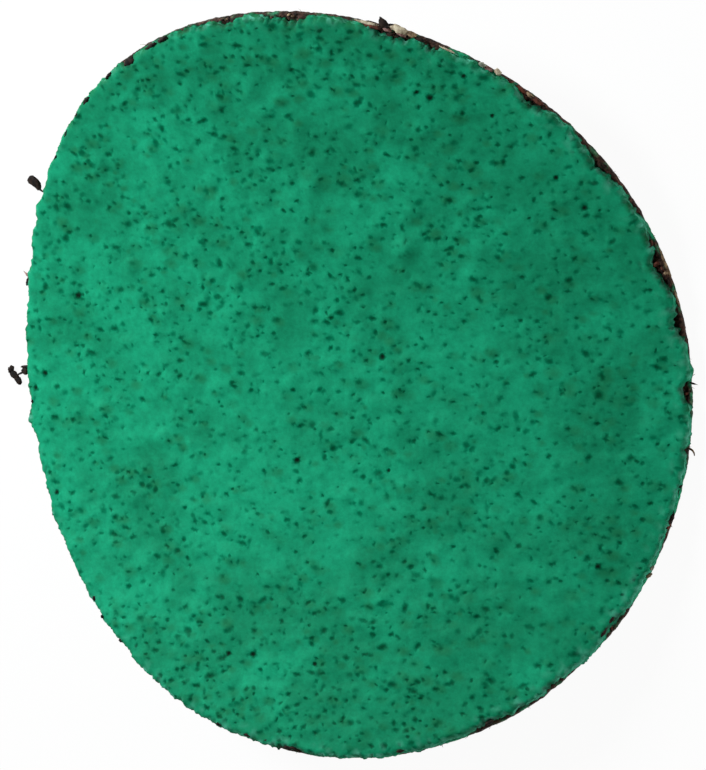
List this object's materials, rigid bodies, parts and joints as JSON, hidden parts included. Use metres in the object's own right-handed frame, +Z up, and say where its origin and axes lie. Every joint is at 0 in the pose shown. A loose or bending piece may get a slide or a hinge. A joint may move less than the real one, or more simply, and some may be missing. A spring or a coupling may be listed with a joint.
{
  "type": "sanding disc",
  "caption": "Round coated abrasive disc for a small hand sander, curled into a shallow trough by use, with a coarse green grit side up and a plain brown cloth back.",
  "frame": {"origin": "the middle of the flat strip on the back that the disc rests on", "axes": "+Z up, out of the grit side; +X along the trough that the curl makes; +Y across the trough, the way the rim rises"},
  "size_m": [0.076, 0.0734, 0.0098],
  "materials": {
    "brown_cloth": "resin filled twill",
    "green_abrasive": "coarse grit in matt resin"
  },
  "bodies": {
    "root": {"cloth_backing": "brown_cloth", "abrasive_coat": "green_abrasive"}
  },
  "joints": []
}
